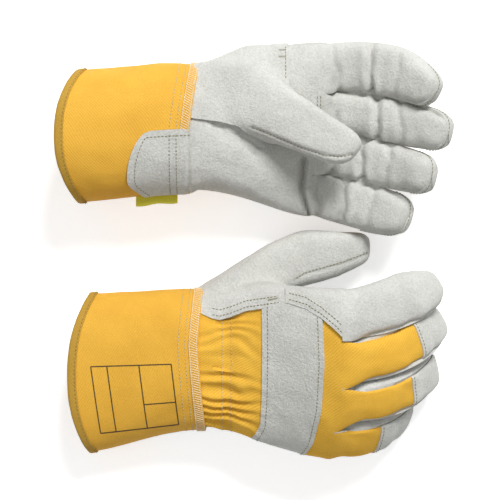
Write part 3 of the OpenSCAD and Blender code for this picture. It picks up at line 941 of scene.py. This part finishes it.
def thumb_skin(s, f, turn, off=0.0):
    halves = [along(f, stops) for stops in thumb_half_w[s]]
    return digit_skin(thumb_path[s], thumb_l, f, halves, along(f, thumb_half_t[s]), turn, off, thumb_power)


def fused(s):
    shell = bmesh.new()
    tube(shell, 60, 96, lambda a, b: hand_tube(s, a, b))
    hand_tree = BVHTree.FromBMesh(shell)
    tube(shell, 70, 56, lambda a, b: thumb_skin(s, lerp(THUMB_ROOT, thumb_l, a), 360 * b))
    bmesh.ops.recalc_face_normals(shell, faces=shell.faces[:])
    mesh = bpy.data.meshes.new("fusing")
    shell.to_mesh(mesh)
    shell.free()
    holder = bpy.data.objects.new("fusing", mesh)
    scene.collection.objects.link(holder)
    remesh = holder.modifiers.new("fuse", "REMESH")
    remesh.mode = "VOXEL"
    remesh.voxel_size = FUSE_VOXEL
    bm = bmesh.new()
    bm.from_object(holder, bpy.context.evaluated_depsgraph_get())
    bpy.data.objects.remove(holder)
    bpy.data.meshes.remove(mesh)
    return bm, hand_tree


def kept(s, vert, hand_tree):
    away = hand_tree.find_nearest(vert.co)[3]
    edge = along(vert.co.x, wrap_back_edge if vert.normal.z > 0 else wrap_palm_edge)
    on_wrap = min(vert.co.y - edge, wrap_end[s] - vert.co.x, vert.co.x - WRAP_FROM)
    return max(away - THUMB_CLEAR, on_wrap)


for s in (RIGHT, LEFT):
    bm, hand_tree = fused(s)
    for _ in range(SMOOTH_PASSES):
        bmesh.ops.smooth_vert(bm, verts=bm.verts[:], factor=0.5,
                              use_axis_x=True, use_axis_y=True, use_axis_z=True)
    bm.normal_update()
    keep = bm.verts.layers.float.new("keep")
    for vert in bm.verts:
        vert[keep] = kept(s, vert, hand_tree)
    crossing = [e for e in bm.edges if e.verts[0][keep] * e.verts[1][keep] < 0]
    shares = {e: e.verts[0][keep] / (e.verts[0][keep] - e.verts[1][keep]) for e in crossing}
    cut_line = bmesh.ops.bisect_edges(bm, edges=crossing, cuts=1, edge_percents=shares)["geom_split"]
    line_verts = [g for g in cut_line if isinstance(g, bmesh.types.BMVert)]
    bmesh.ops.connect_verts(bm, verts=line_verts)
    outside = [f for f in bm.faces if sum(v[keep] for v in f.verts) < 0]
    bmesh.ops.delete(bm, geom=outside, context="FACES")
    bm.normal_update()
    for vert in bm.verts:
        swell = slack(vert.co.x, vert.co.y, vert.co.z + 700 + 50 * s, 0.7)
        if vert.normal.z * seam_face[s] > 0:
            swell -= (0.7, 1.1)[s] * bump(away_from(vert.co.x, vert.co.y, thumb_seam[s]), 0.9)
        vert.co = placed(s, vert.co + vert.normal * swell)
    if s == LEFT:
        bmesh.ops.reverse_faces(bm, faces=bm.faces[:])
    bm.normal_update()
    made = piece(bm, SIDES[s] + "_thumb_and_wrap", suede, leather_t)
    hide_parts(*(SIDES[s] + part for part in ("_thumb_wrap", "_thumb_outer", "_thumb_inner")))
    root = frame_at(thumb_path[s], thumb_l, -2)[0]
    bend = frame_at(thumb_path[s], thumb_l, 30)[0]
    placed(s, root)
    placed(s, bend)
    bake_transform(made)
    pieces_of[(s, "wrap")] = made
    print(made.name, len(made.data.polygons), "faces")

# %% [markdown]
# ## The vein patch
# The palm's suede runs on over the wrist seam as a rounded tongue on the cuff, which guards the vein side
# of the wrist. It lies one ply over the canvas, dips where the seam under it pulls it in, and then runs
# level with the palm.

# %% Vein patch
patch_from, patch_to = 268, 190
patch_end = 9.0
PATCH_CORNER = 0.5


def patch_start(b):
    corner = clamp(1 - b / PATCH_CORNER)
    return -39.5 + 15 * (1 - math.sqrt(1 - min(1, corner) ** 2)) + 10 * ease((b - 0.55) / 0.45)


def patch_point(s, a, b):
    turn = lerp(patch_from, patch_to, b)
    x = lerp(patch_start(b), patch_end, a ** 0.9)
    dip = 1.3 * bump(x + 0.5, 1.3)
    cuff_side = on_cuff(s, min(x, seam_x(s, turn)), turn, ply_gap + leather_t - dip)
    cuff_side.x = (glove_at[s][0] + x) * MM
    q = power(math.cos(math.radians(turn)), 2 / cuff_power)
    palm_side = on_hand(s, x, q, PALM, 0.25 - dip)
    return cuff_side.lerp(palm_side, ease((x + 1.5) / 9))


for s in (RIGHT, LEFT):
    bm = laid(72, 56, lambda a, b: patch_point(s, a, b), lambda a, b: cuff_axis(s, lerp(-40, 8, a)))
    patch = piece(bm, SIDES[s] + "_wrist_patch", suede, 1.2)
    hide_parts(SIDES[s] + "_vein_patch")
    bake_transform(patch)
    pieces_of[(s, "patch")] = patch
print("patch", round(patch_start(0.5)), "mm on the cuff")

# %% [markdown]
# ## Sewing
# A stitch is a short plump grain of thread. One small ellipsoid is repeated along a line that is dropped onto
# the piece it is sewn through, so that each stitch follows the folds of the leather under it.


# %% Sewing helpers
def tree_of(made):
    faces = [p.vertices[:] for p in made.data.polygons]
    return BVHTree.FromPolygons([v.co for v in made.data.vertices], faces)


def dropped(tree, s, spots, face):
    down = Vector((0, 0, -face * (1, -1)[s]))
    line = []
    for x, y in spots:
        place, normal, _, _ = tree.ray_cast(placed(s, (x, y, face * 150)), down)
        if place is not None:
            line.append((place, normal))
    return line


def pressed(tree, points):
    line = []
    for point in points:
        place, normal, _, _ = tree.find_nearest(point)
        line.append((place, normal))
    return line


STITCH_PROUD = 0.12 * MM
INK_PROUD = 0.06 * MM


def grain(bm, place, ahead, normal, length, width, high):
    side = normal.cross(ahead).normalized()
    matrix = Matrix.Identity(4)
    for row in range(3):
        matrix[row][0] = side[row] * width / 2 * MM
        matrix[row][1] = normal[row] * high / 2 * MM
        matrix[row][2] = ahead[row] * length / 2 * MM
        matrix[row][3] = place[row]
    bmesh.ops.create_uvsphere(bm, u_segments=6, v_segments=4, radius=1, matrix=matrix)


def sew(bm, line, pitch=2.4, length=1.8, width=0.62, high=0.62, lean=0.0):
    travelled, due, count = 0.0, pitch / 2, 0
    for (p0, n0), (p1, n1) in zip(line, line[1:]):
        step = (p1 - p0).length / MM
        if step < 1e-6 or step > 12:
            continue
        while travelled + step >= due:
            t = (due - travelled) / step
            normal = n0.lerp(n1, t).normalized()
            ahead = (p1 - p0).normalized()
            ahead = (ahead + lean * normal.cross(ahead)).normalized()
            grain(bm, p0.lerp(p1, t) + normal * STITCH_PROUD, ahead, normal, length, width, high)
            due += pitch
            count += 1
        travelled += step
    return count


def ladder(a, b, steps):
    return [[lerp(p, q, k / steps) for p, q in zip(a, b)] for k in range(steps + 1)]


def polyline(stops, per_leg=14):
    line = []
    for a, b in zip(stops, stops[1:]):
        line += ladder(a, b, per_leg)
    return line


def thread_piece(bm, name, finish, slot, body, *nodes):
    made = piece(bm, name, finish)
    if nodes:
        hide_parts(*nodes)
    if body:
        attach(made, body)
    return made


trees = {key: tree_of(made) for key, made in pieces_of.items()}
print("ready to sew through", len(trees), "pieces")

# %% [markdown]
# ## The cuff's seams
# The raw edge of the cuff is overlocked: pale thread laid slantwise over the edge, close together, with a
# chain along each side of it. Two rows of plain stitches beside it hold the hand, and one row holds
# the binding.

# %% Overlock and cuff stitching
patch_turns = (192, 267)
SEAM_ROWS = (7.6, 12.0)


def open_turns(steps):
    return [lerp(patch_turns[1], patch_turns[0] + 360, k / steps) for k in range(steps + 1)]


def cuff_line(s, turns, setback):
    return pressed(trees[(s, "cuff")], [on_cuff(s, seam_x(s, a) - setback, a, 0.6) for a in turns])


for s in (RIGHT, LEFT):
    name, body = SIDES[s], SIDES[s] + "_cuff"

    def edge_place(a, b):
        turn = lerp(patch_turns[1], patch_turns[0] + 360, a)
        return on_cuff(s, seam_x(s, turn) + lerp(-5.2, 0.9, b), turn, 0.55 - 0.9 * ease((b - 0.8) / 0.2))

    bm = laid(150, 8, edge_place, lambda a, b: cuff_axis(s, -3), flat=lambda a, b: (a * 190, b * 7))
    edge = piece(bm, name + "_overlocked_edge", canvas, 0.5)
    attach(edge, body)
    edge_tree = tree_of(edge)
    bm = bmesh.new()
    middle = pressed(edge_tree, [on_cuff(s, seam_x(s, a) - 2.2, a, 1.2) for a in open_turns(300)])
    slants = sew(bm, middle, pitch=1.6, length=6.6, width=0.65, high=0.6, lean=2.6)
    for setback in (4.8, -0.2):
        sew(bm, pressed(edge_tree, [on_cuff(s, seam_x(s, a) - setback, a, 1.2) for a in open_turns(300)]),
            pitch=1.6, length=2.0, width=0.8, high=0.7, lean=0.35)
    thread_piece(bm, name + "_overlock", overlock_thread, "overlock", body, name + "_cuff_overlock")
    bm = bmesh.new()
    for setback in SEAM_ROWS:
        sew(bm, cuff_line(s, open_turns(200), setback))
    rim_line = pressed(trees[(s, "binding")], [on_cuff(s, rim_x(a) + 4.0, a, 1.2) for a in range(0, 361, 2)])
    thread_piece(bm, name + "_cuff_seams", grey_thread, "thread", body, name + "_cuff_stitching")
    bm = bmesh.new()
    sew(bm, rim_line, pitch=2.6, length=1.8)
    thread_piece(bm, name + "_rim_seam", amber_thread, "thread", body)
    bm = bmesh.new()
    patch_line = [patch_point(s, lerp(0.78, 0.075, k / 40), 0.055) for k in range(41)]
    patch_line += [patch_point(s, 0.075, lerp(0.055, 0.97, k / 60)) for k in range(61)]
    sew(bm, pressed(trees[(s, "patch")], patch_line))
    for setback in SEAM_ROWS:
        turns = [lerp(265, 193, k / 60) for k in range(61)]
        sew(bm, pressed(trees[(s, "patch")], [on_cuff(s, seam_x(s, a) - setback, a, 2.6) for a in turns]))
    thread_piece(bm, name + "_patch_seams", olive_thread, "thread", body)
print("overlock:", slants, "slanted threads")

# %% [markdown]
# ## The label tab and the ruled frame
# A bare woven tab is caught in the left cuff's lower seam. The right cuff has a plain ruled box
# of thin ink lines, laid on the canvas like paint.

# %% Label tab
tab_from, tab_to = -35.0, -8.0
TAB_TURN = 188


def tab_point(a, b):
    x = lerp(tab_from, tab_to, a)
    out = 7.2 * math.sin(math.pi * min(b, 1 - b)) * (0.94 + 0.06 * math.sin(a * 9))
    thick = 0.75 * math.sin(2 * math.pi * b)
    edge = cuff_point(LEFT, x, TAB_TURN, 0.2)
    return placed(LEFT, edge + Vector((0, -out, 2.5 + thick + 0.5 * math.sin(3 * a))))


def tab_middle(a, b):
    return placed(LEFT, cuff_point(LEFT, lerp(tab_from, tab_to, a), TAB_TURN, 0) + Vector((0, -3, 2.5)))


bm = laid(26, 24, tab_point, tab_middle, flat=lambda a, b: (a * 27, b * 15))
tab = piece(bm, "left_bare_tab", label)
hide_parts("left_label_tab")
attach(tab, "left_cuff")
print("tab", tab_to - tab_from, "mm long")

# %% Ruled frame
# Brown printing ink, broken by specks of 1.2 mm where the weave hasn't taken it.
ink, tree = finish_of("printing_ink")
spot = add(tree, "ShaderNodeTexCoord").outputs["Object"]
grit = add(tree, "ShaderNodeTexNoise", {"Vector": spot, "Scale": 1 / 0.0012})
tone = add(tree, "ShaderNodeMix", {
    0: grit.outputs[0], 6: colour("#3A2F1A"), 7: colour("#5A4824")}, data_type="RGBA")
shader = add(tree, "ShaderNodeBsdfPrincipled", {"Base Color": tone.outputs[2], "Roughness": 0.8})
add(tree, "ShaderNodeOutputMaterial", {"Surface": shader.outputs[0]})
frame_corners = ((-70.5, -4), (-18.2, -2), (-13.7, -41.6), (-64.4, -47.5))
frame_rules = ((0, 0, 1, 0), (1, 0, 1, 1), (1, 1, 0, 1), (0, 1, 0, 0),
               (0.6, 0, 0.6, 1), (0.2, 0, 0.2, 1), (0.6, 0.62, 1, 0.62))
RULE_W = 0.8


def frame_spot(a, b):
    (x0, y0), (x1, y1), (x2, y2), (x3, y3) = frame_corners
    return lerp(lerp(x0, x1, a), lerp(x3, x2, a), b), lerp(lerp(y0, y1, a), lerp(y3, y2, a), b)


bm = bmesh.new()
cuff_tree = trees[(RIGHT, "cuff")]
for a0, b0, a1, b1 in frame_rules:
    start, stop = Vector(frame_spot(a0, b0)), Vector(frame_spot(a1, b1))
    across = (stop - start).orthogonal().normalized() * RULE_W / 2
    rule = bmesh.ops.create_grid(bm, x_segments=40, y_segments=1, size=0.5)["verts"]
    for vert in rule:
        spot = start.lerp(stop, vert.co.x + 0.5) + across * 2 * vert.co.y
        (place, normal), = dropped(cuff_tree, RIGHT, [spot], BACK)
        vert.co = place + normal * INK_PROUD
made = piece(bm, "right_ruled_frame", ink)
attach(made, "right_cuff")
print("frame of", len(frame_rules), "rules")

# %% [markdown]
# ## The hand's seams
# Rows of olive stitches hold the strap, the wrap and the band, and two pale rows hold the elastic behind
# the back. Short bartacks close the ends of the wrap's seam, where the strain is.


# %% Stitching on the hand
def plan_line(stops, inset):
    return [(x, y + inset) for x, y in polyline(stops)]


for s in (RIGHT, LEFT):
    name, body = SIDES[s], SIDES[s] + "_hand"
    bm = bmesh.new()
    for a in (0.085, 0.915):
        row = []
        for k in range(120):
            q = spread(lerp(0.20, 0.96, k / 119))
            row.append(on_hand(s, strap_u(a, q), q, BACK, leather_t + 0.8))
        sew(bm, pressed(trees[(s, "strap")], row))
    for inset in (2.4, 6.4):
        stops = [(x, y) for x, y in wrap_back_edge if 3 < x < wrap_end[s] - 1]
        sew(bm, dropped(trees[(s, "wrap")], s, plan_line(stops, inset), BACK))
        row = []
        for k in range(80):
            u = lerp(band_from[s] + 2, CLEFT_START - 0.5, k / 79)
            q = along(u, band_edge) + inset / palm_half_w
            row.append(on_hand(s, u, q, BACK, band_off(u) + 0.5))
        sew(bm, pressed(trees[(s, "band")], row))
    stops = ((wrap_end[s] - 2, 31), (wrap_end[s] - 2, 52))
    sew(bm, dropped(trees[(s, "wrap")], s, plan_line(stops, 0), PALM))
    for y in (45.5, 50.0):
        tack = [(wrap_end[s] - 6.5 + 0.25 * k, y) for k in range(20)]
        sew(bm, dropped(trees[(s, "wrap")], s, tack, PALM), pitch=0.8, length=1.7, width=0.45, lean=2.0)
    tack = [(wrap_end[s] - 12 + 0.25 * k, 39.5 + 0.05 * k) for k in range(40)]
    sew(bm, dropped(trees[(s, "wrap")], s, tack, BACK), pitch=0.8, length=1.7, width=0.45, lean=2.0)
    for u in (86.0, 88.2):
        row = [on_hand(s, u, lerp(0.42, 0.2, k / 20), PALM, 0.6) for k in range(21)]
        sew(bm, pressed(trees[(s, "palm")], row))
    thread_piece(bm, name + "_hand_seams", olive_thread, "thread", body, name + "_hand_stitching")
    bm = bmesh.new()
    for u in (14.6, 20.4):
        row = []
        for k in range(160):
            q = spread(lerp(0.20, 0.97, k / 159))
            row.append(on_hand(s, u, q, BACK, 0.5))
        sew(bm, pressed(trees[(s, "back")], row))
    rows = thread_piece(bm, name + "_elastic_seams", grey_thread, "thread", None)
    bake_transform(rows)
print("hand seams end at piece", len(made_pieces))

# %% Stitching on the fingers and thumbs
CAP_SEAM_L = 15


def cap_line(s, i):
    line = []
    for k in range(61):
        t = 2 * k / 60 - 1
        f = finger_l[s][i] - CAP_SEAM_L * t * t
        turn = 0 if t > 0 else 180
        place = placed(s, finger_tube(s, i, f, turn, 0.6))
        line.append((place, (place - finger_axis(s, i, hand_l + f - 6)).normalized()))
    return line


for s in (RIGHT, LEFT):
    for i in range(4):
        name = SIDES[s] + "_" + FINGERS[i]
        bm = bmesh.new()
        sew(bm, cap_line(s, i), width=0.5)
        if i:
            u = hand_l + drill_l[s][i] + 1.6
            row = [on_finger(s, i, u, lerp(0.03, 0.97, k / 40), BACK, 1.5) for k in range(41)]
            sew(bm, pressed(trees[(s, i, "tip_panel")], row))
        thread_piece(bm, name + "_seams", olive_thread, "thread", name)
    bm = bmesh.new()
    sew(bm, dropped(trees[(s, "wrap")], s, plan_line(thumb_seam[s], (1.5, 0.2)[s]), seam_face[s]), width=0.5)
    thread_piece(bm, SIDES[s] + "_thumb_seams", olive_thread, "thread", SIDES[s] + "_thumb")
print("pieces:", len(made_pieces))
